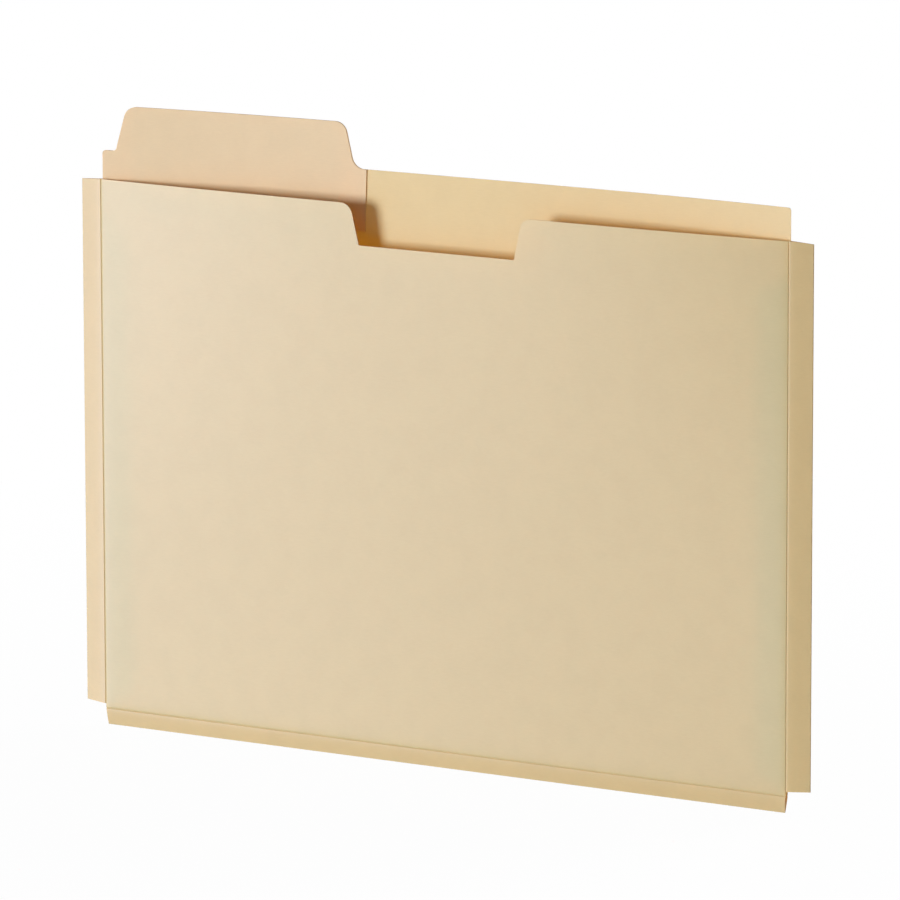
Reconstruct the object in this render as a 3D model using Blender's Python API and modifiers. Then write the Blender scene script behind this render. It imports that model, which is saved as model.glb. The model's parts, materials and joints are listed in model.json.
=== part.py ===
"""Expanding file pocket of scored manila card.

A back panel with a one-third tab and a front panel with a thumb cut are joined by V-folded gussets
along the bottom and both sides. Each facet between two scores is an object with its origin on the
score that it turns about, and it is parented to the facet that carries it.

Run with blender --background --python part.py. Units are metres, +Z is up, the front faces -Y.
"""

import math

import bmesh
import bpy

# Card, glue and scores
CARD = 0.00028  # thickness of the card
GLUE_FILM = 0.0001  # thickness of a dried glue film
GLUE_CLEARANCE = 0.00005  # between a glue film and the card on each side of it
SCORE_GAP = 0.0003  # bare width of a score, half of it taken from each facet

# Panels, measured up from the bottom score and across from the left side score
PANEL_WIDTH = 0.29845
FRONT_HEIGHT = 0.2062
BACK_HEIGHT = 0.2182  # at its right-hand corner
TOP_FALL = 0.001  # from that corner to the left-hand one, the sheet being folded a little askew
SHOULDER_RADIUS = 0.0012  # outer top corners of the back panel

# Gusset strips, each from its score to the fold
SIDE_STRIP = 0.0093
BOTTOM_STRIP = 0.00635
SIDE_STRIP_FOOT = 0.0017  # from the bottom score up to the lower end of a side strip
SIDE_STRIP_TAPER = 0.0006  # drop of a side strip's ends towards its fold
BOTTOM_STRIP_TAPER = 0.0006  # draw-in of a bottom strip's ends towards its fold

# Tab
TAB_HEIGHT = 0.0172
TAB_START = 0.00575  # left side score to the tab's left foot
TAB_FOOT_WIDTH = 0.1035
TAB_SLANT = 0.0047  # lean of each side of the tab
TAB_CORNER_RADIUS = 0.0052
TAB_OUTER_FOOT_RADIUS = 0.0015  # at the pocket's left shoulder
TAB_INNER_FOOT_RADIUS = 0.0055

# Second ply over the tab
PLY_WIDTH = 0.1147  # left side score to the ply's free edge
PLY_DROP = 0.024  # from the back panel's top edge down to the ply's lower edge
PLY_GLUE_MARGIN = 0.002  # bare border round the ply's glue

# Thumb cut in the front panel
CUT_WIDTH = 0.0674  # along its lower edge
CUT_SHIFT = 0.0016  # from the panel's middle to the cut's middle, towards the right
CUT_DEPTH = 0.0158
CUT_SLANT = 0.0036
CUT_CORNER_RADIUS = 0.005
CUT_ROOT_RADIUS = 0.0006

# Glue flaps, which lie inside the back panel
FLAP_WIDTH = 0.0127
FLAP_TAPER = 0.006
FLAP_CLEARANCE = 0.001  # between a flap's upper end and the tab's ply
FLAP_GLUE_MARGIN = 0.0025

# Set of the pocket as it stands
REST_OPENING = 0.0008  # between the inner faces of a flap and the front panel, at the side scores
SIDE_SETBACK = 0.0013  # from the front panel's inner face back to the side folds
FRONT_BOW = 0.0033  # how far the front panel's top edge bulges forward
BACK_BOW = 0.0058  # how far the back panel's top edge bulges back
BOW_START = 0.05  # height up to which both panels stay flat
BOW_SPREAD = 3.0  # power of the bulge across the width
BOW_RISE = 1.5  # power of the bulge up the height

# Fineness of the bent sheets and of the round corners
COLUMNS = 24
ROWS = 10
CORNER_STEPS = 5

# Colours of the card and the glue, as sRGB
MANILA = (0.875, 0.808, 0.675)
MANILA_TAB = (0.898, 0.796, 0.667)
MANILA_BACK = (0.898, 0.812, 0.639)
DRIED_GLUE = (0.82, 0.79, 0.70)

# What follows from the sizes above
GLUE_STACK = GLUE_FILM + 2 * GLUE_CLEARANCE
HALF_WIDTH = PANEL_WIDTH / 2
PANEL_EDGE = HALF_WIDTH - SCORE_GAP / 2
COLUMN_WIDTH = PANEL_WIDTH / COLUMNS
ROW_HEIGHT = (BACK_HEIGHT + TAB_HEIGHT) / ROWS
BOTTOM_OPENING = REST_OPENING + CARD + GLUE_STACK
BOTTOM_ANGLE = math.asin(BOTTOM_OPENING / (2 * BOTTOM_STRIP))
SIDE_FRONT_ANGLE = math.asin(SIDE_SETBACK / SIDE_STRIP)
SIDE_BACK_ANGLE = math.asin((REST_OPENING - SIDE_SETBACK) / SIDE_STRIP)
LEFT = -1
RIGHT = 1
FORWARD = 1
BACKWARD = -1


def clear_scene():
    for obj in list(bpy.data.objects):
        bpy.data.objects.remove(obj, do_unlink=True)


def linear(channel):
    """One sRGB channel as the linear value that a shader takes."""
    if channel <= 0.04045:
        return channel / 12.92
    return ((channel + 0.055) / 1.055) ** 2.4


def make_material(name, colour, roughness):
    material = bpy.data.materials.new(name)
    material.use_nodes = True
    shader = material.node_tree.nodes["Principled BSDF"]
    shader.inputs["Base Color"].default_value = (*map(linear, colour), 1)
    shader.inputs["Roughness"].default_value = roughness
    shader.inputs["Metallic"].default_value = 0
    return material


def rise(height, top):
    """Share of a panel's bulge at a height: none up to BOW_START, all of it at the panel's top edge."""
    return max(0, (height - BOW_START) / (top - BOW_START)) ** BOW_RISE


def spread(x):
    """Share of a panel's bulge across its width: none at the side scores, all of it in the middle."""
    return 1 - min(1, abs(x) / HALF_WIDTH) ** BOW_SPREAD


def front_bow(x, z):
    return -FRONT_BOW * spread(x) * rise(z, FRONT_HEIGHT)


def back_bow(x, z):
    return BACK_BOW * spread(x) * rise(z, BACK_HEIGHT)


def rounded(corners):
    """Outline through (x, z, radius) corners, each with a radius replaced by an arc."""
    points = []
    for index, (x, z, radius) in enumerate(corners):
        if not radius:
            points.append((x, z))
            continue
        before = corners[index - 1]
        after = corners[(index + 1) % len(corners)]
        back = math.atan2(before[1] - z, before[0] - x)
        ahead = math.atan2(after[1] - z, after[0] - x)
        turn = (ahead - back + math.pi) % (2 * math.pi) - math.pi
        reach = radius / math.tan(abs(turn) / 2)
        middle = back + turn / 2
        far = radius / math.sin(abs(turn) / 2)
        centre = (x + far * math.cos(middle), z + far * math.sin(middle))
        start = math.atan2(
            z + reach * math.sin(back) - centre[1], x + reach * math.cos(back) - centre[0]
        )
        sweep = math.copysign(math.pi - abs(turn), -turn)
        for step in range(CORNER_STEPS + 1):
            angle = start + sweep * step / CORNER_STEPS
            points.append((centre[0] + radius * math.cos(angle), centre[1] + radius * math.sin(angle)))
    return points


def mirrored(points, side):
    """The outline as it is on the right, or turned over for the left, always anticlockwise."""
    if side == RIGHT:
        return points
    return [(-x, z) for x, z in reversed(points)]


def faceted(bow, x, z):
    """bow(x, z) made straight between the bend lines, so that sheets laid on each other keep their gap."""
    across = (x + HALF_WIDTH) / COLUMN_WIDTH
    up = z / ROW_HEIGHT
    column = math.floor(across)
    row = math.floor(up)
    across -= column
    up -= row

    def corner(columns, rows):
        return bow((column + columns) * COLUMN_WIDTH - HALF_WIDTH, (row + rows) * ROW_HEIGHT)

    upper_left = corner(0, 1)
    lower_right = corner(1, 0)
    if across + up <= 1:
        return corner(0, 0) * (1 - across - up) + lower_right * across + upper_left * up
    return corner(1, 1) * (across + up - 1) + upper_left * (1 - across) + lower_right * (1 - up)


def cut_bend_lines(sheet):
    """Cut a flat sheet along the columns, the rows and the diagonals of the bend grid."""
    lines = [((column, 0), (1, 0)) for column in range(1, COLUMNS)]
    lines += [((0, row), (0, 1)) for row in range(1, ROWS)]
    lines += [((step, 0), (1, 1)) for step in range(1, COLUMNS + ROWS)]
    for (column, row), (across, up) in lines:
        bmesh.ops.bisect_plane(
            sheet,
            geom=sheet.verts[:] + sheet.edges[:] + sheet.faces[:],
            dist=1e-6,
            plane_co=(column * COLUMN_WIDTH - HALF_WIDTH, 0, row * ROW_HEIGHT),
            plane_no=(across * ROW_HEIGHT, 0, up * COLUMN_WIDTH),
        )


def make_sheet(name, outline, material, towards, thickness=CARD, offset=0, bow=None):
    """A sheet with the given outline, bent by bow(x, z), with its thickness laid on towards one side."""
    sheet = bmesh.new()
    sheet.faces.new([sheet.verts.new((x, offset, z)) for x, z in outline])
    if bow:
        cut_bend_lines(sheet)
        for vert in sheet.verts:
            vert.co.y += faceted(bow, vert.co.x, vert.co.z)
    mesh = bpy.data.meshes.new(name)
    sheet.to_mesh(mesh)
    sheet.free()
    mesh.materials.append(material)
    obj = bpy.data.objects.new(name, mesh)
    solidify = obj.modifiers.new("Card thickness", "SOLIDIFY")
    solidify.thickness = thickness
    solidify.offset = towards
    return obj


def place(obj, collection, parent, location, rotation=(0, 0, 0)):
    collection.objects.link(obj)
    obj.parent = parent
    obj.location = location
    obj.rotation_euler = rotation
    return obj


def back_top(x):
    """Height of the back panel's top edge."""
    return BACK_HEIGHT - TOP_FALL * (HALF_WIDTH - x) / PANEL_WIDTH


def tab_corners():
    """The tab's corners from its right foot to its left foot."""
    foot = TAB_START - HALF_WIDTH
    far_foot = foot + TAB_FOOT_WIDTH
    right = far_foot - TAB_SLANT
    left = foot + TAB_SLANT
    return [
        (far_foot, back_top(far_foot), TAB_INNER_FOOT_RADIUS),
        (right, back_top(right) + TAB_HEIGHT, TAB_CORNER_RADIUS),
        (left, back_top(left) + TAB_HEIGHT, TAB_CORNER_RADIUS),
        (foot, back_top(foot), TAB_OUTER_FOOT_RADIUS),
    ]


def back_outline():
    return rounded(
        [
            (-PANEL_EDGE, SCORE_GAP / 2, 0),
            (PANEL_EDGE, SCORE_GAP / 2, 0),
            (PANEL_EDGE, back_top(PANEL_EDGE), SHOULDER_RADIUS),
            *tab_corners(),
            (-PANEL_EDGE, back_top(-PANEL_EDGE), SHOULDER_RADIUS),
        ]
    )


def ply_outline():
    right = PLY_WIDTH - HALF_WIDTH
    return rounded(
        [
            (-PANEL_EDGE, BACK_HEIGHT - PLY_DROP, 0),
            (right, BACK_HEIGHT - PLY_DROP, 0),
            (right, back_top(right), 0),
            *tab_corners(),
            (-PANEL_EDGE, back_top(-PANEL_EDGE), SHOULDER_RADIUS),
        ]
    )


def ply_glue_outline():
    """The ply's glue: a band along the back panel's edge and up into the tab, inside a bare border."""
    left = TAB_START + TAB_SLANT + PLY_GLUE_MARGIN - HALF_WIDTH
    right = TAB_START + TAB_FOOT_WIDTH - TAB_SLANT - PLY_GLUE_MARGIN - HALF_WIDTH
    low = BACK_HEIGHT - PLY_DROP + PLY_GLUE_MARGIN
    high = back_top(left) + TAB_HEIGHT - PLY_GLUE_MARGIN
    return rounded(
        [
            (left, low, 0),
            (right, low, 0),
            (right, high, TAB_CORNER_RADIUS),
            (left, high, TAB_CORNER_RADIUS),
        ]
    )


def front_outline():
    root = CUT_WIDTH / 2
    mouth = root + CUT_SLANT
    floor = FRONT_HEIGHT - CUT_DEPTH
    return rounded(
        [
            (-PANEL_EDGE, SCORE_GAP / 2, 0),
            (PANEL_EDGE, SCORE_GAP / 2, 0),
            (PANEL_EDGE, FRONT_HEIGHT, 0),
            (CUT_SHIFT + mouth, FRONT_HEIGHT, CUT_CORNER_RADIUS),
            (CUT_SHIFT + root, floor, CUT_ROOT_RADIUS),
            (CUT_SHIFT - root, floor, CUT_ROOT_RADIUS),
            (CUT_SHIFT - mouth, FRONT_HEIGHT, CUT_CORNER_RADIUS),
            (-PANEL_EDGE, FRONT_HEIGHT, 0),
        ]
    )


def side_strip_outline(near, far):
    """A side strip of the right-hand gusset, from its score side at x = near to its fold side at far."""
    return [
        (near, SIDE_STRIP_FOOT),
        (far, SIDE_STRIP_FOOT + SIDE_STRIP_TAPER),
        (far, FRONT_HEIGHT - SIDE_STRIP_TAPER),
        (near, FRONT_HEIGHT),
    ]


def bottom_strip_outline(near, far):
    """A bottom strip from its score side at z = near to its fold side at z = far."""
    reach = PANEL_EDGE - BOTTOM_STRIP_TAPER
    return [(-reach, far), (reach, far), (PANEL_EDGE, near), (-PANEL_EDGE, near)]


def flap_outline(margin):
    """A glue flap of the right-hand gusset, or the glue under it with a bare margin all round."""
    outer = PANEL_EDGE - margin
    inner = PANEL_EDGE - FLAP_WIDTH + margin
    low = SIDE_STRIP_FOOT + margin
    high = BACK_HEIGHT - PLY_DROP - FLAP_CLEARANCE - margin
    return [
        (inner, low + FLAP_TAPER),
        (outer, low),
        (outer, high),
        (inner, high - FLAP_TAPER),
    ]


def depth_middle():
    """Middle of the pocket's depth, measured from the bottom fold."""
    tab_right = TAB_START + TAB_FOOT_WIDTH - TAB_SLANT - TAB_CORNER_RADIUS - HALF_WIDTH
    rear = max(back_bow(tab_right, back_top(tab_right) + TAB_HEIGHT), back_bow(0, back_top(0)))
    front = front_bow(CUT_WIDTH / 2 + CUT_SLANT - CUT_SHIFT, FRONT_HEIGHT)
    return (rear + front) / 2


def make_back(collection, origin):
    """The back panel with the tab's second ply, the two glue flaps and the glue that holds them."""
    panel = place(
        make_sheet(
            "back_panel",
            back_outline(),
            make_material("Manila card, back panel", MANILA_BACK, 0.75),
            BACKWARD,
            bow=back_bow,
        ),
        collection,
        origin,
        (0, BOTTOM_STRIP * math.sin(BOTTOM_ANGLE), BOTTOM_STRIP * math.cos(BOTTOM_ANGLE)),
    )
    ply = make_sheet(
        "tab_reinforcement",
        ply_outline(),
        make_material("Manila card, tab ply", MANILA_TAB, 0.75),
        FORWARD,
        offset=-GLUE_STACK,
        bow=back_bow,
    )
    glue = make_sheet(
        "tab_glue",
        ply_glue_outline(),
        make_material("Dried glue, tab", DRIED_GLUE, 0.4),
        FORWARD,
        thickness=GLUE_FILM,
        offset=-GLUE_CLEARANCE,
        bow=back_bow,
    )
    place(ply, collection, panel, (0, 0, 0))
    place(glue, collection, panel, (0, 0, 0))
    for side, word in ((LEFT, "left"), (RIGHT, "right")):
        flap = make_sheet(
            word + "_glue_flap",
            mirrored(flap_outline(0), side),
            make_material("Manila card, " + word + " flap", MANILA, 0.75),
            FORWARD,
            offset=-GLUE_STACK,
            bow=back_bow,
        )
        line = make_sheet(
            word + "_glue_line",
            mirrored(flap_outline(FLAP_GLUE_MARGIN), side),
            make_material("Dried glue, " + word + " flap", DRIED_GLUE, 0.4),
            FORWARD,
            thickness=GLUE_FILM,
            offset=-GLUE_CLEARANCE,
            bow=back_bow,
        )
        place(flap, collection, panel, (0, 0, 0))
        place(line, collection, panel, (0, 0, 0))
    return panel


def make_bottom_gusset(collection, back):
    """The two bottom strips: the rear one hangs on the back panel, the front one turns on the fold."""
    near = SCORE_GAP / 2
    far = BOTTOM_STRIP - SCORE_GAP / 2
    rear = place(
        make_sheet(
            "bottom_gusset_back",
            bottom_strip_outline(-near, -far),
            make_material("Manila card, rear bottom strip", MANILA, 0.75),
            BACKWARD,
        ),
        collection,
        back,
        (0, 0, 0),
        (-BOTTOM_ANGLE, 0, 0),
    )
    return place(
        make_sheet(
            "bottom_gusset_front",
            bottom_strip_outline(far, near),
            make_material("Manila card, front bottom strip", MANILA, 0.75),
            FORWARD,
        ),
        collection,
        rear,
        (0, 0, -BOTTOM_STRIP),
        (2 * BOTTOM_ANGLE, 0, 0),
    )


def make_front(collection, bottom):
    """The front panel, upright again on its bottom score."""
    return place(
        make_sheet(
            "front_panel",
            front_outline(),
            make_material("Manila card, front panel", MANILA, 0.75),
            FORWARD,
            bow=front_bow,
        ),
        collection,
        bottom,
        (0, 0, BOTTOM_STRIP),
        (-BOTTOM_ANGLE, 0, 0),
    )


def make_side_gusset(collection, front, side, word):
    """A side gusset: its front strip turns on the front panel, its rear strip on the outer fold."""
    near = SCORE_GAP / 2
    far = SIDE_STRIP - SCORE_GAP / 2
    outer = place(
        make_sheet(
            word + "_gusset_front",
            mirrored(side_strip_outline(near, far), side),
            make_material("Manila card, " + word + " front strip", MANILA, 0.75),
            FORWARD,
        ),
        collection,
        front,
        (side * HALF_WIDTH, 0, 0),
        (0, 0, side * SIDE_FRONT_ANGLE),
    )
    place(
        make_sheet(
            word + "_gusset_back",
            mirrored(side_strip_outline(-far, -near), side),
            make_material("Manila card, " + word + " rear strip", MANILA, 0.75),
            BACKWARD,
        ),
        collection,
        outer,
        (side * SIDE_STRIP, 0, 0),
        (0, 0, -side * (SIDE_FRONT_ANGLE + SIDE_BACK_ANGLE)),
    )


def main():
    clear_scene()
    collection = bpy.data.collections.new("Expanding file pocket")
    bpy.context.scene.collection.children.link(collection)
    origin = place(bpy.data.objects.new("pocket_origin", None), collection, None, (0, -depth_middle(), 0))
    back = make_back(collection, origin)
    bottom = make_bottom_gusset(collection, back)
    front = make_front(collection, bottom)
    make_side_gusset(collection, front, LEFT, "left")
    make_side_gusset(collection, front, RIGHT, "right")


main()
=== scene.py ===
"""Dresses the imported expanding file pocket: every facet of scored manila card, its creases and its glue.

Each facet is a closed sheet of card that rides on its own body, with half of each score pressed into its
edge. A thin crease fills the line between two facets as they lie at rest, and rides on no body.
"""

import json
import math

import bmesh
import bpy
from mathutils import Matrix, Vector


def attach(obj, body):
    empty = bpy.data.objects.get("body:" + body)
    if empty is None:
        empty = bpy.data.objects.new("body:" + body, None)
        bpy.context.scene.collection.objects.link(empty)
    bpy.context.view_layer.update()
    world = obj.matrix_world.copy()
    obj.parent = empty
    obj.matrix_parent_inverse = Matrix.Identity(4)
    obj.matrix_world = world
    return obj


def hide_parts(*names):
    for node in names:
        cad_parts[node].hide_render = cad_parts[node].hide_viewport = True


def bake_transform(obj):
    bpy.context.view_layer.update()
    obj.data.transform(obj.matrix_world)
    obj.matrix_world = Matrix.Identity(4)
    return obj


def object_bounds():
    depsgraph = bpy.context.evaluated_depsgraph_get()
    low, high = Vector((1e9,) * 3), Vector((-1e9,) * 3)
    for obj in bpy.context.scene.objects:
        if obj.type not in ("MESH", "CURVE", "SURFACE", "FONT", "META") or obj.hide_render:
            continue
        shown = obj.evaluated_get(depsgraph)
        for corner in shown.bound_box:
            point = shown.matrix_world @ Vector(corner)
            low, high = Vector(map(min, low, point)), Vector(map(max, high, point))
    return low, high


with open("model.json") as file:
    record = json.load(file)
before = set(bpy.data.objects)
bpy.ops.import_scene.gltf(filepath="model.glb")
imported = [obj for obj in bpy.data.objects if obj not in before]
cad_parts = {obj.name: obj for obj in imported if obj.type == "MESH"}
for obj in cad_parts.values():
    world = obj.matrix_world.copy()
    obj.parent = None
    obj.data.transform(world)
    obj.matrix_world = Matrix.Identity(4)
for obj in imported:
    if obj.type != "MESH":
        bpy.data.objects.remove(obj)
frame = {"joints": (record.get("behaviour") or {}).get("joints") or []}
CAD_LOW, CAD_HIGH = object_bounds()

bl_info = {
    "name": "Expanding file pocket",
    "version": (1, 0, 0),
    "blender": (4, 5, 0),
    "location": "View3D > Sidebar > Pocket",
    "description": "Manila card file pocket with V-folded gussets, made over its packed frame",
    "category": "Object",
}

# Which way along x each side lies, and its word in the names of joints, bodies and nodes
SIDES = ((-1, "left"), (1, "right"))

# Straight pieces in a rounded corner, in the bend of a score and in that of a fold
CORNER_STEPS = 10
SCORE_STEPS = 4
FOLD_STEPS = 18

# Distances in metres: between the cuts that let a sheet bend, and from a scored edge to the finer cuts
# that shape its groove and its roll
SHEET_PITCH = 0.006
EDGE_STEPS = (
    0.0001, 0.00014, 0.00017, 0.0002, 0.00023, 0.00027, 0.00034, 0.00045,
    0.00065, 0.0009, 0.0012, 0.0016, 0.0022, 0.003, 0.0042, 0.0058,
)
# An edge within this distance of a score's line carries the score
SCORE_TOLERANCE = 0.00002
# A cut within this distance of a corner goes through it
CUT_TOLERANCE = 0.0000001
# Faces that meet at more than this angle have a sharp edge between them
SHARP_ANGLE = math.radians(35)

# How a panel's bulge dies away towards its sides, and grows towards its top
SIDE_POWER = 3
TOP_POWER = 1.5
# How steep the sides of a score's groove are
GROOVE_POWER = 4

# Specular level of the card's pressed side, which has a sheen, and of its matt side
PRESSED_GLOSS = 0.35
MATT_GLOSS = 0.06
# Shares of the light that soak into a face of the card, and into the front panel's inner face
FACE_SOAKS = 0.33
INSIDE_SOAKS = 0.7

# Floor and camera in metres, apart from the sensor, which is in millimetres
FLOOR_RADIUS = 4
FLOOR_SIDES = 96
FLOOR_DROP = 0.0002
SENSOR_WIDTH = 36
VIEW_END = 50


def linear(hex_colour):
    """An sRGB hex colour as the linear red, green and blue that a shader takes."""
    channels = [int(hex_colour[index : index + 2], 16) / 255 for index in (0, 2, 4)]
    return [c / 12.92 if c <= 0.04045 else ((c + 0.055) / 1.055) ** 2.4 for c in channels]


def joint_point(name):
    """A point on a joint's axis at rest."""
    return Vector(next(joint["pos_m"] for joint in frame["joints"] if joint["name"] == name))


def length_prop(name, default, description):
    """A setting in metres."""
    return bpy.props.FloatProperty(
        name=name,
        description=description,
        default=default,
        subtype="DISTANCE",
        unit="LENGTH",
        precision=5,
    )


def colour_prop(name, hex_colour, description):
    """A setting for a colour, given in sRGB."""
    return bpy.props.FloatVectorProperty(
        name=name,
        description=description,
        default=linear(hex_colour),
        subtype="COLOR",
        size=3,
        min=0,
        max=1,
    )


def angle_prop(name, degrees, description):
    """A setting for an angle."""
    return bpy.props.FloatProperty(
        name=name,
        description=description,
        default=math.radians(degrees),
        subtype="ANGLE",
        unit="ROTATION",
    )


def power_prop(name, default, description):
    """A setting for a lamp, in watts."""
    return bpy.props.FloatProperty(
        name=name, description=description, default=default, subtype="POWER", unit="POWER"
    )


def share_prop(name, default, description):
    """A setting from 0 to 1."""
    return bpy.props.FloatProperty(
        name=name, description=description, default=default, subtype="FACTOR", min=0, max=1
    )


class PocketSizes(bpy.types.PropertyGroup):
    """Sizes of the card and of its facets, as cut."""

    card: length_prop("Card", 0.00028, "Thickness of the card")
    glue_film: length_prop("Glue film", 0.0001, "Thickness of a dried glue film")
    glue_stack: length_prop("Glue joint", 0.0002, "Room between two glued sheets of card")
    front_height: length_prop("Front height", 0.2062, "Front panel above its bottom score")
    back_height: length_prop("Back height", 0.2182, "Back panel's right corner above its bottom score")
    top_fall: length_prop("Top fall", 0.001, "Fall of the back panel's top edge to its left corner")
    back_inset: length_prop("Back inset", 0.00015, "Back panel's side edges inside the side scores")
    shoulder: length_prop("Shoulder radius", 0.0012, "Rounding of the back panel's outer top corners")
    tab_height: length_prop("Tab height", 0.0172, "Tab above the back panel's top edge")
    tab_start: length_prop("Tab start", 0.00575, "From the left side score to the tab's foot")
    tab_width: length_prop("Tab width", 0.1035, "Width of the tab at its foot")
    tab_slant: length_prop("Tab slant", 0.0047, "Lean of each side of the tab")
    tab_corner: length_prop("Tab corner radius", 0.0052, "Rounding of the tab's top corners")
    tab_outer_foot: length_prop("Outer foot radius", 0.0015, "Rounding at the tab's left foot")
    tab_inner_foot: length_prop("Inner foot radius", 0.0055, "Rounding at the tab's right foot")
    ply_width: length_prop("Ply width", 0.1147, "Tab ply's free edge from the left side score")
    ply_drop: length_prop("Ply drop", 0.024, "Tab ply below the back panel's top edge")
    ply_margin: length_prop("Ply glue margin", 0.002, "Bare border round the ply's glue")
    cut_width: length_prop("Cut width", 0.0674, "Thumb cut along its lower edge")
    cut_shift: length_prop("Cut shift", 0.0016, "Thumb cut's middle to the right of the panel's middle")
    cut_depth: length_prop("Cut depth", 0.0158, "Thumb cut below the front panel's top edge")
    cut_slant: length_prop("Cut slant", 0.0036, "Lean of each side of the thumb cut")
    cut_corner: length_prop("Cut corner radius", 0.005, "Rounding of the thumb cut's upper corners")
    cut_root: length_prop("Cut root radius", 0.0006, "Rounding of the thumb cut's lower corners")
    strip_foot: length_prop("Side strip foot", 0.0017, "Side strips' lower end above the bottom score")
    strip_taper: length_prop("Strip taper", 0.0006, "Draw-in of a strip's ends towards its fold")
    flap_width: length_prop("Flap width", 0.0127, "Width of a glue flap")
    flap_taper: length_prop("Flap taper", 0.006, "Slant of a glue flap's ends")
    flap_clearance: length_prop("Flap clearance", 0.001, "Between a flap's upper end and the tab ply")
    flap_margin: length_prop("Flap glue margin", 0.0025, "Bare border round a flap's glue")
    front_bow: length_prop("Front bulge", 0.0033, "How far the front's top edge bulges forward")
    back_bow: length_prop("Back bulge", 0.0058, "How far the back's top edge bulges back")
    bow_start: length_prop("Bulge start", 0.05, "Height up to which the panels stay flat")
    groove: length_prop("Score depth", 0.00018, "Depth of a score pressed into the outer face")
    groove_half: length_prop("Score half width", 0.00022, "From a score's middle to its steep side")
    score_gap: length_prop("Score gap", 0.00001, "From a strip's edge to the line its score turns on")
    roll: length_prop("Score roll", 0.0002, "How far the card rolls up out of a score")
    roll_reach: length_prop("Score roll reach", 0.0015, "Distance in which it makes most of that roll")


class PocketColours(bpy.types.PropertyGroup):
    """Colours of the card on each facet, and of the glue."""

    front: colour_prop("Front", "D6CF9E", "Manila of the front panel")
    back: colour_prop("Back", "E0DAB3", "Manila of the back panel")
    tab: colour_prop("Tab ply", "F1E2BF", "Manila of the tab's second ply, a little pinker")
    gusset: colour_prop("Gussets", "DACB98", "Manila of the gusset strips and glue flaps")
    soak: colour_prop("Soaked light", "FFD073", "Tint of the light that soaks through the card")
    edge: colour_prop("Cut edge", "DCCFB0", "Raw core of the card where it is cut")
    glue: colour_prop("Glue", "D1C9B2", "Dried paper glue")


class PocketStage(bpy.types.PropertyGroup):
    """Camera and light."""

    yaw: angle_prop("Camera yaw", 31.0135, "Camera to the right of the front panel's normal")
    pitch: angle_prop("Camera pitch", 10.5842, "Camera's look down")
    roll: angle_prop("Camera roll", -0.1128, "Camera's turn about its look")
    distance: length_prop("Camera distance", 2.9856, "From the camera to its target")
    aim_height: length_prop("Aim height", 0.12065, "Height of the target before its shift")
    aim_right: length_prop("Aim shift right", 0.0045018, "Target's shift along the picture's width")
    aim_up: length_prop("Aim shift up", 0.0007175, "Target's shift along the picture's height")
    lens: bpy.props.FloatProperty(
        name="Lens", description="Focal length in millimetres", default=319.472, unit="CAMERA"
    )
    key_turn: angle_prop("Key turn", 33, "Key light to the left of the front panel's normal")
    key_rise: angle_prop("Key rise", 2, "Key light above the panels' middle")
    key_distance: length_prop("Key distance", 3, "From the key light to the front panel")
    key_size: length_prop("Key size", 1.05, "Side of the key light")
    key_power: power_prop("Key power", 92, "Key light's power")
    sheen_turn: angle_prop("Sheen turn", 42, "Sheen light to the left of the front panel's normal")
    sheen_rise: angle_prop("Sheen rise", -7, "Sheen light above the panels' middle, below if negative")
    sheen_size: length_prop("Sheen size", 1.2, "Side of the sheen light")
    sheen_colour: colour_prop("Sheen colour", "DCE0FF", "Cool white of the sheen light")
    sheen_power: power_prop("Sheen power", 119, "Sheen light's power")
    back_right: length_prop("Back light right", 0.5, "Light behind, to the right of the middle")
    back_distance: length_prop("Back light distance", 1.2, "Light behind, back from the middle")
    back_rise: length_prop("Back light height", 0.6, "Light behind, up from the bottom fold")
    back_size: length_prop("Back light size", 0.8, "Side of the light behind")
    back_power: power_prop("Back light power", 16, "Power of the light behind")
    # The floor glows with painted light, which lights the object from below
    floor_light: share_prop("Floor light", 0.25, "Room light that the floor sends up")
    floor_colour: colour_prop("Floor colour", "D8E6FF", "Cool white of the room light on the floor")
    ambient: share_prop("Ambient", 0.08, "World light's strength")
    ambient_colour: colour_prop("Ambient colour", "FFF0DC", "Tint of the world's light")


def sizes():
    """The sizes set in the sidebar."""
    return bpy.context.scene.pocket_sizes


def colours():
    """The colours set in the sidebar."""
    return bpy.context.scene.pocket_colours


def staging():
    """The camera and light set in the sidebar."""
    return bpy.context.scene.pocket_stage


# Card outlines, as (x, z) across from the middle of the width and up from the bottom scores


def rounded(corners):
    """An outline through (x, z, radius) corners, each with a radius replaced by an arc."""
    points = []
    for index, (x, z, radius) in enumerate(corners):
        if not radius:
            points.append((x, z))
            continue
        before = corners[index - 1]
        after = corners[(index + 1) % len(corners)]
        back = math.atan2(before[1] - z, before[0] - x)
        ahead = math.atan2(after[1] - z, after[0] - x)
        turn = (ahead - back + math.pi) % (2 * math.pi) - math.pi
        reach = radius / math.tan(abs(turn) / 2)
        far = radius / math.sin(abs(turn) / 2)
        middle = back + turn / 2
        centre = (x + far * math.cos(middle), z + far * math.sin(middle))
        start = math.atan2(
            z + reach * math.sin(back) - centre[1], x + reach * math.cos(back) - centre[0]
        )
        sweep = math.copysign(math.pi - abs(turn), -turn)
        for step in range(CORNER_STEPS + 1):
            angle = start + sweep * step / CORNER_STEPS
            points.append((centre[0] + radius * math.cos(angle), centre[1] + radius * math.sin(angle)))
    return points


def half_width():
    """From the middle of the pocket to a side score."""
    return joint_point("right_score").x


def back_top(x):
    """Height of the back panel's top edge."""
    size = sizes()
    return size.back_height - size.top_fall * (half_width() - x) / (2 * half_width())


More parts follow.
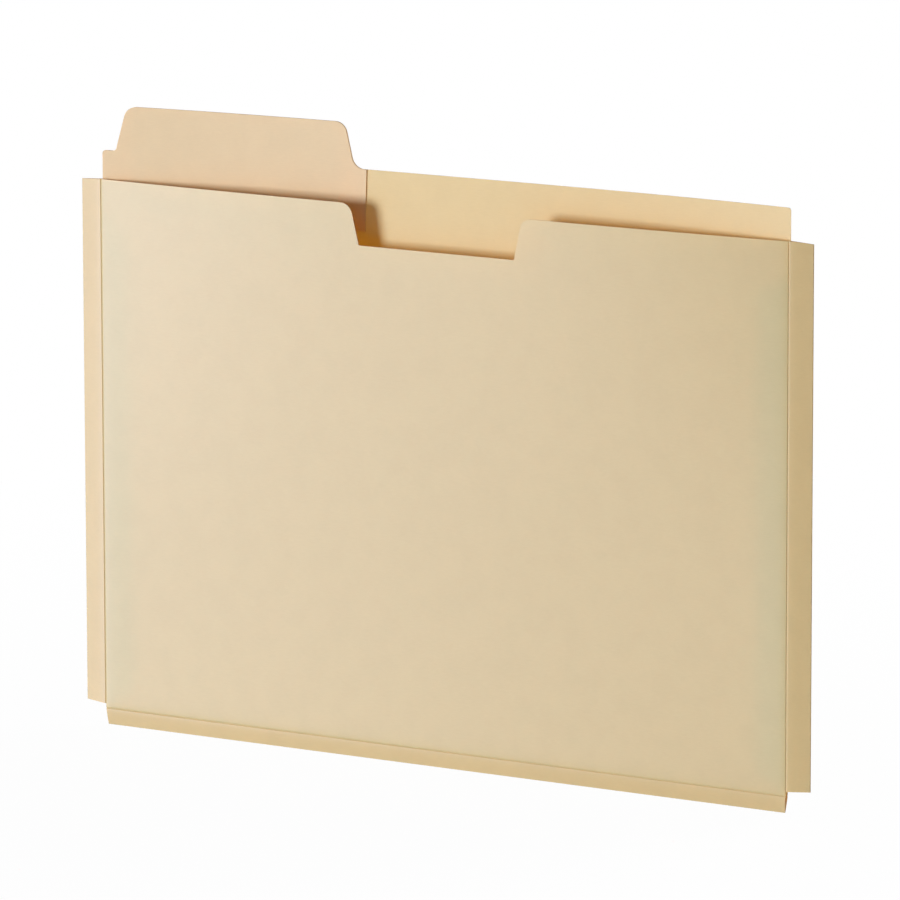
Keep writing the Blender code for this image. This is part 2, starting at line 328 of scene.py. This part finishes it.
def tab_corners():
    """The tab's corners from its right foot to its left foot."""
    size = sizes()
    foot = size.tab_start - half_width()
    far_foot = foot + size.tab_width
    right, left = far_foot - size.tab_slant, foot + size.tab_slant
    return [
        (far_foot, back_top(far_foot), size.tab_inner_foot),
        (right, back_top(right) + size.tab_height, size.tab_corner),
        (left, back_top(left) + size.tab_height, size.tab_corner),
        (foot, back_top(foot), size.tab_outer_foot),
    ]


def back_outline():
    """The back panel with its tab."""
    size = sizes()
    edge = half_width() - size.back_inset
    corners = [(-edge, 0, 0), (edge, 0, 0), (edge, back_top(edge), size.shoulder)]
    return rounded(corners + tab_corners() + [(-edge, back_top(-edge), size.shoulder)])


def ply_outline():
    """The second ply over the tab."""
    size = sizes()
    edge = half_width() - size.back_inset
    low = size.back_height - size.ply_drop
    right = size.ply_width - half_width()
    corners = [(-edge, low, 0), (right, low, 0), (right, back_top(right), 0)]
    return rounded(corners + tab_corners() + [(-edge, back_top(-edge), size.shoulder)])


def ply_glue_outline():
    """The glue under that ply, a little smaller."""
    size = sizes()
    left = size.tab_start + size.tab_slant + size.ply_margin - half_width()
    right = size.tab_start + size.tab_width - size.tab_slant - size.ply_margin - half_width()
    low = size.back_height - size.ply_drop + size.ply_margin
    high = back_top(left) + size.tab_height - size.ply_margin
    return rounded(
        [(left, low, 0), (right, low, 0), (right, high, size.tab_corner), (left, high, size.tab_corner)]
    )


def front_outline():
    """The front panel with its thumb cut."""
    size = sizes()
    edge = half_width()
    top = size.front_height
    floor = top - size.cut_depth
    root = size.cut_width / 2
    mouth = root + size.cut_slant
    middle = size.cut_shift
    return rounded(
        [
            (-edge, 0, 0),
            (edge, 0, 0),
            (edge, top, 0),
            (middle + mouth, top, size.cut_corner),
            (middle + root, floor, size.cut_root),
            (middle - root, floor, size.cut_root),
            (middle - mouth, top, size.cut_corner),
            (-edge, top, 0),
        ]
    )


def side_strip_outline(near, far):
    """A side strip with its length up z and its width along x, from the score side to the fold side."""
    size = sizes()
    return [
        (near, size.strip_foot),
        (far, size.strip_foot + size.strip_taper),
        (far, size.front_height - size.strip_taper),
        (near, size.front_height),
    ]


def bottom_strip_outline(width):
    """A bottom strip with its length along x and its width up z, from the score to the fold."""
    size = sizes()
    edge = half_width() - size.back_inset
    reach = edge - size.strip_taper
    return [(-edge, size.score_gap), (edge, size.score_gap), (reach, width), (-reach, width)]


def flap_outline(side, margin):
    """A glue flap, drawn in by a margin on all sides for its glue."""
    size = sizes()
    outer = half_width() - size.back_inset - margin
    inner = half_width() - size.back_inset - size.flap_width + margin
    low = size.strip_foot + margin
    high = size.back_height - size.ply_drop - size.flap_clearance - margin
    taper = size.flap_taper
    points = [(inner, low + taper), (outer, low), (outer, high), (inner, high - taper)]
    return [(side * x, z) for x, z in points]


# How the facets bend


def bulge(x, z, amount, top):
    """How far a panel stands out at (x, z): nothing at its sides and low down, all of it at its top."""
    size = sizes()
    spread = 1 - min(1, abs(x) / half_width()) ** SIDE_POWER
    rise = max(0, (z - size.bow_start) / (top - size.bow_start)) ** TOP_POWER
    return amount * spread * rise


def roll_out(distance):
    """Share of its roll that the card has made at a distance from a score."""
    return 1 - math.exp(-distance / sizes().roll_reach)


def strip_roll(distance, width):
    """Roll of a narrow strip out of its score and back to its fold."""
    return sizes().roll * roll_out(distance) * (1 - distance / width)


def front_bulge(x, z):
    """The front panel's bulge, with its roll out of the three scores round it."""
    size = sizes()
    roll = size.roll * roll_out(half_width() - x) * roll_out(half_width() + x) * roll_out(z)
    return roll + bulge(x, z, size.front_bow, size.front_height)


def back_bulge(x, z):
    """The bulge of the back panel and of all that is glued to it."""
    return bulge(x, z, sizes().back_bow, sizes().back_height)


def flat(x, z):
    """No bulge at all."""
    return 0


def score_relief(distance):
    """Height of the outer face by its distance from a score, a groove with steep sides."""
    size = sizes()
    return -size.groove * math.exp(-((distance / size.groove_half) ** GROOVE_POWER))


# Sheets and creases


class Facet:
    """Where a flat facet lies: its origin, and the ways of its x, of its z and out of its outer face."""

    def __init__(self, origin, across, up, out):
        self.origin = Vector(origin)
        self.across = Vector(across).normalized()
        self.up = Vector(up).normalized()
        self.out = Vector(out).normalized()

    def point(self, x, z, depth):
        """The place of (x, z) on the facet, with a depth out of it."""
        return self.origin + x * self.across + z * self.up + depth * self.out


def front_facet():
    """The front panel's facet, with its z up from its bottom score."""
    return Facet(joint_point("front_score"), (1, 0, 0), (0, 0, 1), (0, -1, 0))


def back_facet():
    """The back panel's facet, with its z up from its bottom score."""
    return Facet(joint_point("expand"), (1, 0, 0), (0, 0, 1), (0, 1, 0))


def bottom_facet(score, front):
    """A bottom strip's facet, with its z running down from the score to the bottom fold."""
    top = joint_point(score)
    down = (joint_point("bottom_fold") - top).normalized()
    out = Vector((1, 0, 0)).cross(down)
    if (out.y < 0) != front:
        out = -out
    return Facet(top, (1, 0, 0), down, out)


def side_front_facet(side, word):
    """A front side strip's facet, with its x running out from the side score to the fold."""
    score = joint_point(word + "_score")
    fold = joint_point(word + "_fold")
    base = joint_point("front_score").z
    across = fold - score
    across.z = 0
    out = Vector((side * across.y, -side * across.x, 0))
    return Facet((score.x, score.y, base), across, (0, 0, 1), out)


def side_back_facet(side, word):
    """A rear side strip's facet, with its x running in from the fold to the glue flap's edge."""
    fold = joint_point(word + "_fold")
    base = joint_point("front_score").z
    size = sizes()
    width = side_strip_width(word)
    flap_y = joint_point("expand").y - size.glue_stack - size.card
    along_y = flap_y - fold.y
    across = Vector((-side * math.sqrt(width**2 - along_y**2), along_y, 0))
    out = Vector((side * across.y, -side * across.x, 0))
    return Facet((fold.x, fold.y, base), across, (0, 0, 1), out)


def side_strip_width(word):
    """From a side score to its fold."""
    across = joint_point(word + "_fold") - joint_point(word + "_score")
    return math.hypot(across.x, across.y)


def cuts(low, high, scored):
    """Places to cut a sheet between low and high, close together near an end that carries a score."""
    count = max(1, round((high - low) / SHEET_PITCH))
    places = [low + (high - low) * step / count for step in range(1, count)]
    if scored[0]:
        places += [low + step for step in EDGE_STEPS]
    if scored[1]:
        places += [high - step for step in EDGE_STEPS]
    return sorted(places)


def make_card(name, outline, facet, layers, materials, bow=flat, scores=()):
    """A closed sheet with the given outline, from its inner layer to its outer one, bent by bow.

    scores lists ("x" or "z", place) for each edge that carries half a score. materials are those of the
    outer face, of the cut edges and, where it has its own, of the inner face.
    """
    sheet = bmesh.new()
    sheet.faces.new([sheet.verts.new((x, 0, z)) for x, z in outline])
    for axis, normal in (("x", (1, 0, 0)), ("z", (0, 0, 1))):
        values = [point[0 if axis == "x" else 1] for point in outline]
        low, high = min(values), max(values)
        lines = [place for which, place in scores if which == axis]
        scored = [any(abs(line - end) < SCORE_TOLERANCE for line in lines) for end in (low, high)]
        for place in cuts(low, high, scored):
            bmesh.ops.bisect_plane(
                sheet,
                geom=sheet.verts[:] + sheet.edges[:] + sheet.faces[:],
                dist=CUT_TOLERANCE,
                plane_co=[place * part for part in normal],
                plane_no=normal,
            )
    sheet.verts.index_update()
    inner = []
    outer = []
    for vert in sheet.verts:
        x, z = vert.co.x, vert.co.z
        stand = bow(x, z)
        relief = 0
        for axis, place in scores:
            relief += score_relief(abs((x if axis == "x" else z) - place))
        inner.append(facet.point(x, z, stand + layers[0]))
        outer.append(facet.point(x, z, stand + layers[1] + relief))
    count = len(inner)
    inside = 2 if len(materials) > 2 else 0
    faces = []
    for face in sheet.faces:
        corners = [vert.index for vert in face.verts]
        faces.append(([index + count for index in corners], 0))
        faces.append((corners[::-1], inside))
    for edge in sheet.edges:
        if len(edge.link_faces) == 1:
            a, b = (vert.index for vert in edge.verts)
            faces.append(([a, b, b + count, a + count], 1))
    sheet.free()
    return finish_mesh(name, inner + outer, faces, materials)


def make_crease(name, start, end, outs, radius, materials, steps):
    """The card round a hinge line, as a closed fan from one facet's outer face to the other's."""
    axis = (end - start).normalized()
    first, last = outs
    turn = math.atan2(axis.dot(first.cross(last)), first.dot(last))
    points = []
    for station in (start, end):
        points.append(station)
        for step in range(steps + 1):
            points.append(station + radius * (Matrix.Rotation(turn * step / steps, 3, axis) @ first))
    ring = steps + 2
    faces = [(list(range(ring)), 1), (list(range(2 * ring - 1, ring - 1, -1)), 1)]
    for index in range(ring):
        following = (index + 1) % ring
        faces.append(([index, following, following + ring, index + ring], 0))
    return finish_mesh(name, points, faces, materials)


def finish_mesh(name, points, faces, materials):
    """A mesh object with its faces turned out, smooth but for its cut edges."""
    mesh = bpy.data.meshes.new(name)
    mesh.from_pydata(points, [], [corners for corners, _ in faces])
    for material in materials:
        mesh.materials.append(material)
    for polygon, (_, slot) in zip(mesh.polygons, faces):
        polygon.material_index = slot
    work = bmesh.new()
    work.from_mesh(mesh)
    bmesh.ops.recalc_face_normals(work, faces=work.faces[:])
    work.to_mesh(mesh)
    work.free()
    mesh.shade_smooth()
    mesh.set_sharp_from_angle(angle=SHARP_ANGLE)
    mesh.validate()
    obj = bpy.data.objects.new(name, mesh)
    bpy.context.scene.collection.objects.link(obj)
    return obj


def settle(obj, body, node):
    """Put a finished piece on its body in place of a CAD node."""
    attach(obj, body)
    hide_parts(node)


# Materials


def add_node(tree, kind, settings=None, **links):
    """Add a node, set its settings and sockets, and link each named input to an output."""
    node = tree.nodes.new(kind)
    for key, value in (settings or {}).items():
        if isinstance(key, int) or key in node.inputs:
            node.inputs[key].default_value = value
        else:
            setattr(node, key, value)
    for key, output in links.items():
        tree.links.new(output, node.inputs[key.replace("_", " ")])
    return node


def tone(colour, share=1):
    """A colour at a share of its brightness, as a socket takes it."""
    return (*[share * channel for channel in colour], 1)


def new_material(name):
    """A material with its tree and shader, or with neither where it has been made before."""
    material = bpy.data.materials.get(name)
    if material:
        return material, None, None
    material = bpy.data.materials.new(name)
    material.use_nodes = True
    return material, material.node_tree, material.node_tree.nodes["Principled BSDF"]


def let_light_through(tree, shader, share):
    """Let a share of the light soak into one face of the thin card and come out of the other, orange."""
    soak = add_node(tree, "ShaderNodeBsdfTranslucent", {"Color": tone(colours().soak)})
    both = add_node(tree, "ShaderNodeMixShader", {"Fac": share})
    tree.links.new(shader.outputs[0], both.inputs[1])
    tree.links.new(soak.outputs[0], both.inputs[2])
    tree.links.new(both.outputs[0], tree.nodes["Material Output"].inputs["Surface"])


def manila_card(name, colour, gloss, soaked=FACE_SOAKS):
    """Uncoated manila card, machine made and matt.

    To the eye it is an even buff with faint clouds where the pulp lies thicker, short pale and dark
    fibres along the making direction, and a soft white sheen towards the light.
    """
    material, tree, shader = new_material(name)
    if not tree:
        return material
    place = add_node(tree, "ShaderNodeTexCoord").outputs["Object"]
    # Clouds of pulp about 9 mm across
    clouds = add_node(tree, "ShaderNodeTexNoise", {"Scale": 1 / 0.009, "Detail": 3.0}, Vector=place)
    # Fibres 2.5 mm long and 0.03 mm wide, drawn 0.4 mm wide so that they show
    stretch = add_node(
        tree, "ShaderNodeMapping", {"Scale": (1 / 0.0025, 1 / 0.0004, 1 / 0.0004)}, Vector=place
    )
    fibres = add_node(
        tree, "ShaderNodeTexNoise", {"Scale": 1.0, "Detail": 2.0}, Vector=stretch.outputs["Vector"]
    )
    shade = add_node(
        tree, "ShaderNodeMix", {"data_type": "RGBA", 6: tone(colour, 0.975), 7: tone(colour)}
    )
    cloud_range = add_node(
        tree, "ShaderNodeMapRange", {"From Min": 0.35, "From Max": 0.62}, Value=clouds.outputs["Fac"]
    )
    tree.links.new(cloud_range.outputs["Result"], shade.inputs[0])
    fibre_range = add_node(
        tree,
        "ShaderNodeMapRange",
        {"From Min": 0.3, "From Max": 0.7, "To Min": 0.98, "To Max": 1.015},
        Value=fibres.outputs["Fac"],
    )
    card = add_node(tree, "ShaderNodeVectorMath", {"operation": "MULTIPLY"})
    tree.links.new(shade.outputs[2], card.inputs[0])
    tree.links.new(fibre_range.outputs["Result"], card.inputs[1])
    tree.links.new(card.outputs["Vector"], shader.inputs["Base Color"])
    rough = add_node(
        tree, "ShaderNodeMapRange", {"To Min": 0.36, "To Max": 0.39}, Value=fibres.outputs["Fac"]
    )
    tree.links.new(rough.outputs["Result"], shader.inputs["Roughness"])
    bump = add_node(
        tree, "ShaderNodeBump", {"Strength": 0.25, "Distance": 0.00002}, Height=fibres.outputs["Fac"]
    )
    tree.links.new(bump.outputs["Normal"], shader.inputs["Normal"])
    shader.inputs["IOR"].default_value = 1.5
    shader.inputs["Specular IOR Level"].default_value = gloss
    let_light_through(tree, shader, soaked)
    return material


def cut_edge():
    """The raw core of the manila card, where the die cut it.

    To the eye it is paler than the faces, fuzzy with torn fibres and quite matt.
    """
    material, tree, shader = new_material("Manila card, die-cut edge")
    if not tree:
        return material
    place = add_node(tree, "ShaderNodeTexCoord").outputs["Object"]
    # Torn fibre ends about 0.25 mm apart
    ends = add_node(tree, "ShaderNodeTexNoise", {"Scale": 1 / 0.00025, "Detail": 2.0}, Vector=place)
    colour = colours().edge
    shade = add_node(
        tree, "ShaderNodeMix", {"data_type": "RGBA", 6: tone(colour, 0.85), 7: tone(colour)}
    )
    tree.links.new(ends.outputs["Fac"], shade.inputs[0])
    tree.links.new(shade.outputs[2], shader.inputs["Base Color"])
    shader.inputs["Roughness"].default_value = 0.85
    let_light_through(tree, shader, FACE_SOAKS)
    return material


def dried_glue():
    """Dried paper glue, rolled on thin.

    To the eye it is clear and a little yellow, with a dull gloss and faint streaks from the roller.
    """
    material, tree, shader = new_material("Paper glue, rolled on and dried")
    if not tree:
        return material
    place = add_node(tree, "ShaderNodeTexCoord").outputs["Object"]
    # Roller streaks about 1.5 mm apart, run up the film
    stretch = add_node(
        tree, "ShaderNodeMapping", {"Scale": (1 / 0.0015, 1 / 0.0015, 1 / 0.02)}, Vector=place
    )
    streaks = add_node(
        tree, "ShaderNodeTexNoise", {"Scale": 1.0, "Detail": 2.0}, Vector=stretch.outputs["Vector"]
    )
    colour = colours().glue
    shade = add_node(
        tree, "ShaderNodeMix", {"data_type": "RGBA", 6: tone(colour, 0.9), 7: tone(colour)}
    )
    tree.links.new(streaks.outputs["Fac"], shade.inputs[0])
    tree.links.new(shade.outputs[2], shader.inputs["Base Color"])
    rough = add_node(
        tree, "ShaderNodeMapRange", {"To Min": 0.3, "To Max": 0.5}, Value=streaks.outputs["Fac"]
    )
    tree.links.new(rough.outputs["Result"], shader.inputs["Roughness"])
    return material


def front_card():
    """Pressed manila with a matt inner face that passes most of the light."""
    outside = manila_card("Manila card, front", colours().front, PRESSED_GLOSS)
    inside = manila_card("Manila card, inner face", colours().front, MATT_GLOSS, INSIDE_SOAKS)
    return [outside, cut_edge(), inside]


def back_card():
    """Matt manila, a little paler."""
    return [manila_card("Manila card, back", colours().back, MATT_GLOSS), cut_edge()]


def tab_card():
    """Matt manila, a little pinker."""
    return [manila_card("Manila card, tab ply", colours().tab, MATT_GLOSS), cut_edge()]


def gusset_card():
    """Pressed manila of the strips, flaps and creases."""
    return [manila_card("Manila card, gusset", colours().gusset, PRESSED_GLOSS), cut_edge()]


def rolled_glue():
    """Dried glue for a film's faces and for its edges."""
    return [dried_glue(), dried_glue()]


# Operators


class POCKET_OT_back_panel(bpy.types.Operator):
    """Make the back panel with its tab, scored along the bottom"""

    bl_idname = "pocket.back_panel"
    bl_label = "Back panel"

    def execute(self, context):
        panel = make_card(
            "back_panel_card",
            back_outline(),
            back_facet(),
            (0, sizes().card),
            back_card(),
            back_bulge,
            [("z", 0)],
        )
        settle(panel, "back", "back_panel")
        return {"FINISHED"}


class POCKET_OT_tab_ply(bpy.types.Operator):
    """Make the second ply over the tab and the glue behind it"""

    bl_idname = "pocket.tab_ply"
    bl_label = "Tab ply"

    def execute(self, context):
        size = sizes()
        gap = (size.glue_stack - size.glue_film) / 2
        ply = make_card(
            "tab_ply_card",
            ply_outline(),
            back_facet(),
            (-size.glue_stack - size.card, -size.glue_stack),
            tab_card(),
            back_bulge,
        )
        settle(ply, "back", "tab_reinforcement")
        glue = make_card(
            "tab_ply_glue",
            ply_glue_outline(),
            back_facet(),
            (-gap - size.glue_film, -gap),
            rolled_glue(),
            back_bulge,
        )
        settle(glue, "back", "tab_glue")
        return {"FINISHED"}


class POCKET_OT_glue_flaps(bpy.types.Operator):
    """Make the glue flaps inside the back panel and the glue behind them"""

    bl_idname = "pocket.glue_flaps"
    bl_label = "Glue flaps"

    def execute(self, context):
        size = sizes()
        gap = (size.glue_stack - size.glue_film) / 2
        for side, word in SIDES:
            flap = make_card(
                word + "_flap_card",
                flap_outline(side, 0),
                back_facet(),
                (-size.glue_stack - size.card, -size.glue_stack),
                gusset_card(),
                back_bulge,
            )
            settle(flap, "back", word + "_glue_flap")
            glue = make_card(
                word + "_flap_glue",
                flap_outline(side, size.flap_margin),
                back_facet(),
                (-gap - size.glue_film, -gap),
                rolled_glue(),
                back_bulge,
            )
            settle(glue, "back", word + "_glue_line")
        return {"FINISHED"}


class POCKET_OT_front_panel(bpy.types.Operator):
    """Make the front panel with its thumb cut, scored along the bottom and both sides"""

    bl_idname = "pocket.front_panel"
    bl_label = "Front panel"

    def execute(self, context):
        edge = half_width()
        panel = make_card(
            "front_panel_card",
            front_outline(),
            front_facet(),
            (0, sizes().card),
            front_card(),
            front_bulge,
            [("z", 0), ("x", -edge), ("x", edge)],
        )
        settle(panel, "front", "front_panel")
        return {"FINISHED"}


class POCKET_OT_bottom_gusset(bpy.types.Operator):
    """Make the two strips of the bottom gusset"""

    bl_idname = "pocket.bottom_gusset"
    bl_label = "Bottom gusset"

    def execute(self, context):
        width = (joint_point("expand") - joint_point("bottom_fold")).length
        for score, word, front in (("expand", "back", False), ("front_score", "front", True)):
            strip = make_card(
                "bottom_" + word + "_card",
                bottom_strip_outline(width),
                bottom_facet(score, front),
                (0, sizes().card),
                gusset_card(),
                lambda x, z: strip_roll(z, width),
                [("z", 0)],
            )
            settle(strip, "bottom_" + word, "bottom_gusset_" + word)
        return {"FINISHED"}


class POCKET_OT_side_gussets(bpy.types.Operator):
    """Make the front and rear strips of both side gussets"""

    bl_idname = "pocket.side_gussets"
    bl_label = "Side gussets"

    def execute(self, context):
        for side, word in SIDES:
            width = side_strip_width(word)
            strip = make_card(
                word + "_front_card",
                side_strip_outline(sizes().score_gap, width),
                side_front_facet(side, word),
                (0, sizes().card),
                gusset_card(),
                lambda x, z: strip_roll(x, width),
                [("x", 0)],
            )
            settle(strip, word + "_front", word + "_gusset_front")
            near = width - sizes().back_inset
            strip = make_card(
                word + "_back_card",
                side_strip_outline(near, 0),
                side_back_facet(side, word),
                (0, sizes().card),
                gusset_card(),
            )
            settle(strip, word + "_back", word + "_gusset_back")
        return {"FINISHED"}


class POCKET_OT_creases(bpy.types.Operator):
    """Make the card round the bend of every score and fold, as it lies at rest"""

    bl_idname = "pocket.creases"
    bl_label = "Creases"

    def execute(self, context):
        size = sizes()
        edge = half_width() - size.back_inset
        taper = size.strip_taper
        scored = size.card + score_relief(0)
        back = ("back", back_facet())
        low_back = ("bottom_back", bottom_facet("expand", False))
        low_front = ("bottom_front", bottom_facet("front_score", True))
        front = ("front", front_facet())
        # Name, joint, axis, half length or draw-in, the two bodies with their facets, and thickness
        rows = [
            ("back_bottom_score", "expand", "x", edge, back, low_back, scored),
            ("bottom_fold", "bottom_fold", "x", edge - taper, low_back, low_front, size.card),
            ("front_bottom_score", "front_score", "x", edge, low_front, front, scored),
        ]
        for side, word in SIDES:
            strip = (word + "_front", side_front_facet(side, word))
            rear = (word + "_back", side_back_facet(side, word))
            rows.append((word + "_score", word + "_score", "z", 0, front, strip, scored))
            rows.append((word + "_fold", word + "_fold", "z", taper, strip, rear, size.card))
        base = joint_point("front_score").z
        for name, joint, axis, reach, (body, facet), (next_body, next_facet), radius in rows:
            point = joint_point(joint)
            start, end = point.copy(), point.copy()
            if axis == "x":
                start.x, end.x = -reach, reach
            else:
                start.z = base + size.strip_foot + reach
                end.z = base + size.front_height - reach
            steps = SCORE_STEPS if radius < size.card else FOLD_STEPS
            crease = make_crease(
                name + "_crease", start, end, (facet.out, next_facet.out), radius, gusset_card(), steps
            )
            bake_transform(crease)
        return {"FINISHED"}


class POCKET_OT_stage(bpy.types.Operator):
    """Set the floor, the light and the camera"""

    bl_idname = "pocket.stage"
    bl_label = "Stage"

    def execute(self, context):
        make_world()
        make_floor()
        make_lights()
        make_camera()
        context.scene.view_settings.view_transform = "Standard"
        return {"FINISHED"}


def seen_directly(tree):
    """1 for a ray from the camera, a gloss or clear glass, and 0 for one that lights the object."""
    path = add_node(tree, "ShaderNodeLightPath").outputs
    # Light that soaks through card counts as a transmission ray too, but also as a diffuse one
    clear = add_node(tree, "ShaderNodeMath", {"operation": "SUBTRACT"})
    tree.links.new(path["Is Transmission Ray"], clear.inputs[0])
    tree.links.new(path["Is Diffuse Ray"], clear.inputs[1])
    seen = path["Is Camera Ray"]
    for other in (path["Is Glossy Ray"], clear.outputs[0]):
        either = add_node(tree, "ShaderNodeMath", {"operation": "MAXIMUM"})
        tree.links.new(seen, either.inputs[0])
        tree.links.new(other, either.inputs[1])
        seen = either.outputs[0]
    return seen


def make_world():
    """A white room that lights the object softly and is plain white where it is seen."""
    world = bpy.data.worlds.new("White room")
    bpy.context.scene.world = world
    world.use_nodes = True
    tree = world.node_tree
    background = tree.nodes["Background"]
    room = tone(staging().ambient_colour, staging().ambient)
    shade = add_node(tree, "ShaderNodeMix", {"data_type": "RGBA", 6: room, 7: (1, 1, 1, 1)})
    tree.links.new(seen_directly(tree), shade.inputs[0])
    tree.links.new(shade.outputs[2], background.inputs["Color"])


def make_floor():
    """A round floor just under the object."""
    floor = bmesh.new()
    bmesh.ops.create_circle(floor, cap_ends=True, segments=FLOOR_SIDES, radius=FLOOR_RADIUS)
    mesh = bpy.data.meshes.new("floor")
    floor.to_mesh(mesh)
    floor.free()
    mesh.materials.append(white_paint())
    obj = bpy.data.objects.new("floor", mesh)
    bpy.context.scene.collection.objects.link(obj)
    obj.location.z = CAD_LOW.z - FLOOR_DROP
    # The lamps on the left stand low, partly below this floor, which lets their light by
    obj.visible_shadow = False


def white_paint():
    """White paint on a studio floor, rolled on and matt.

    To the eye it is plain white, with a faint shadow close to the object.
    """
    material, tree, paint = new_material("Painted studio floor, white")
    if not tree:
        return material
    paint.inputs["Base Color"].default_value = tone(linear("E8E8E8"))
    paint.inputs["Roughness"].default_value = 0.8
    # The floor's paint glows: painted light, cool, standing in for room light from above that this floor
    # would send up at the object
    paint.inputs["Emission Color"].default_value = tone(staging().floor_colour)
    paint.inputs["Emission Strength"].default_value = staging().floor_light
    white = add_node(tree, "ShaderNodeEmission", {"Color": (1, 1, 1, 1), "Strength": 1.0})
    place = add_node(tree, "ShaderNodeTexCoord").outputs["Object"]
    length = add_node(tree, "ShaderNodeVectorMath", {"operation": "LENGTH"})
    tree.links.new(place, length.inputs[0])
    # The paint's own shading shows a little near the object and not at all from 0.6 m on
    share = add_node(
        tree,
        "ShaderNodeMapRange",
        {"From Min": 0.1, "From Max": 0.6, "To Min": 0.97, "To Max": 1.0},
        Value=length.outputs["Value"],
    )
    whiteness = add_node(tree, "ShaderNodeMath", {"operation": "MULTIPLY"})
    tree.links.new(share.outputs["Result"], whiteness.inputs[0])
    tree.links.new(seen_directly(tree), whiteness.inputs[1])
    mix = add_node(tree, "ShaderNodeMixShader")
    tree.links.new(whiteness.outputs[0], mix.inputs[0])
    tree.links.new(paint.outputs[0], mix.inputs[1])
    tree.links.new(white.outputs[0], mix.inputs[2])
    tree.links.new(mix.outputs[0], tree.nodes["Material Output"].inputs["Surface"])
    return material


def add_lamp(name, place, target, size, power):
    """A square lamp that points at a target."""
    lamp = bpy.data.lights.new(name, "AREA")
    lamp.shape = "SQUARE"
    lamp.size = size
    lamp.energy = power
    obj = bpy.data.objects.new(name, lamp)
    bpy.context.scene.collection.objects.link(obj)
    obj.location = place
    obj.rotation_euler = (target - place).to_track_quat("-Z", "Y").to_euler()
    return obj


def left_of(turn, rise):
    """The way from the front panel to a lamp on its left."""
    return Vector((-math.sin(turn) * math.cos(rise), -math.cos(turn) * math.cos(rise), math.sin(rise)))


def make_lights():
    """A key lamp low on the left, a sheen lamp beside it, and a lamp behind for the other views.

    The key lights the card and doesn't show in its gloss. The sheen lamp shows in nothing else.
    """
    stage = staging()
    middle = Vector((0, front_facet().origin.y, stage.aim_height))
    place = middle + stage.key_distance * left_of(stage.key_turn, stage.key_rise)
    key = add_lamp("key", place, middle, stage.key_size, stage.key_power)
    key.visible_glossy = False
    place = middle + stage.key_distance * left_of(stage.sheen_turn, stage.sheen_rise)
    sheen = add_lamp("sheen", place, middle, stage.sheen_size, stage.sheen_power)
    sheen.data.color = stage.sheen_colour
    sheen.visible_diffuse = False
    sheen.visible_transmission = False
    place = Vector((stage.back_right, stage.back_distance, stage.back_rise))
    add_lamp("behind", place, middle, stage.back_size, stage.back_power)


def make_camera():
    """A long lens at the photograph's angle."""
    stage = staging()
    right = Vector((math.cos(stage.yaw), math.sin(stage.yaw), 0))
    ahead = Vector((-math.sin(stage.yaw), math.cos(stage.yaw), 0))
    up = Vector((0, 0, 1))
    look = ahead * math.cos(stage.pitch) - up * math.sin(stage.pitch)
    above = ahead * math.sin(stage.pitch) + up * math.cos(stage.pitch)
    target = Vector((0, joint_point("bottom_fold").y, stage.aim_height))
    target += stage.aim_right * right + stage.aim_up * above
    place = target - look * stage.distance
    across = right * math.cos(stage.roll) + above * math.sin(stage.roll)
    upward = above * math.cos(stage.roll) - right * math.sin(stage.roll)
    lens = bpy.data.cameras.new("camera")
    lens.sensor_width = SENSOR_WIDTH
    lens.lens = stage.lens
    lens.clip_end = VIEW_END
    obj = bpy.data.objects.new("camera", lens)
    bpy.context.scene.collection.objects.link(obj)
    axes = Matrix((across, upward, -look)).transposed().to_4x4()
    obj.matrix_world = Matrix.Translation(place) @ axes
    bpy.context.scene.camera = obj


class POCKET_PT_sidebar(bpy.types.Panel):
    """Buttons that make the pocket piece by piece, and its settings"""

    bl_idname = "POCKET_PT_sidebar"
    bl_label = "Expanding file pocket"
    bl_space_type = "VIEW_3D"
    bl_region_type = "UI"
    bl_category = "Pocket"

    def draw(self, context):
        layout = self.layout
        for operator in OPERATORS:
            layout.operator(operator.bl_idname)
        for group in (sizes(), colours(), staging()):
            box = layout.box()
            for name in group.__annotations__:
                box.prop(group, name)


GROUPS = (PocketSizes, PocketColours, PocketStage)
OPERATORS = (
    POCKET_OT_back_panel,
    POCKET_OT_tab_ply,
    POCKET_OT_glue_flaps,
    POCKET_OT_front_panel,
    POCKET_OT_bottom_gusset,
    POCKET_OT_side_gussets,
    POCKET_OT_creases,
    POCKET_OT_stage,
)


def register():
    """Register the settings, the operators and the sidebar."""
    for cls in (*GROUPS, *OPERATORS, POCKET_PT_sidebar):
        bpy.utils.register_class(cls)
    bpy.types.Scene.pocket_sizes = bpy.props.PointerProperty(type=PocketSizes)
    bpy.types.Scene.pocket_colours = bpy.props.PointerProperty(type=PocketColours)
    bpy.types.Scene.pocket_stage = bpy.props.PointerProperty(type=PocketStage)


def unregister():
    """Undo what register does."""
    del bpy.types.Scene.pocket_stage
    del bpy.types.Scene.pocket_colours
    del bpy.types.Scene.pocket_sizes
    for cls in reversed((*GROUPS, *OPERATORS, POCKET_PT_sidebar)):
        bpy.utils.unregister_class(cls)


def main():
    """Make the pocket and its stage."""
    register()
    bpy.ops.pocket.back_panel()
    bpy.ops.pocket.tab_ply()
    bpy.ops.pocket.glue_flaps()
    bpy.ops.pocket.front_panel()
    bpy.ops.pocket.bottom_gusset()
    bpy.ops.pocket.side_gussets()
    bpy.ops.pocket.creases()
    bpy.ops.pocket.stage()


if __name__ == "__main__":
    main()
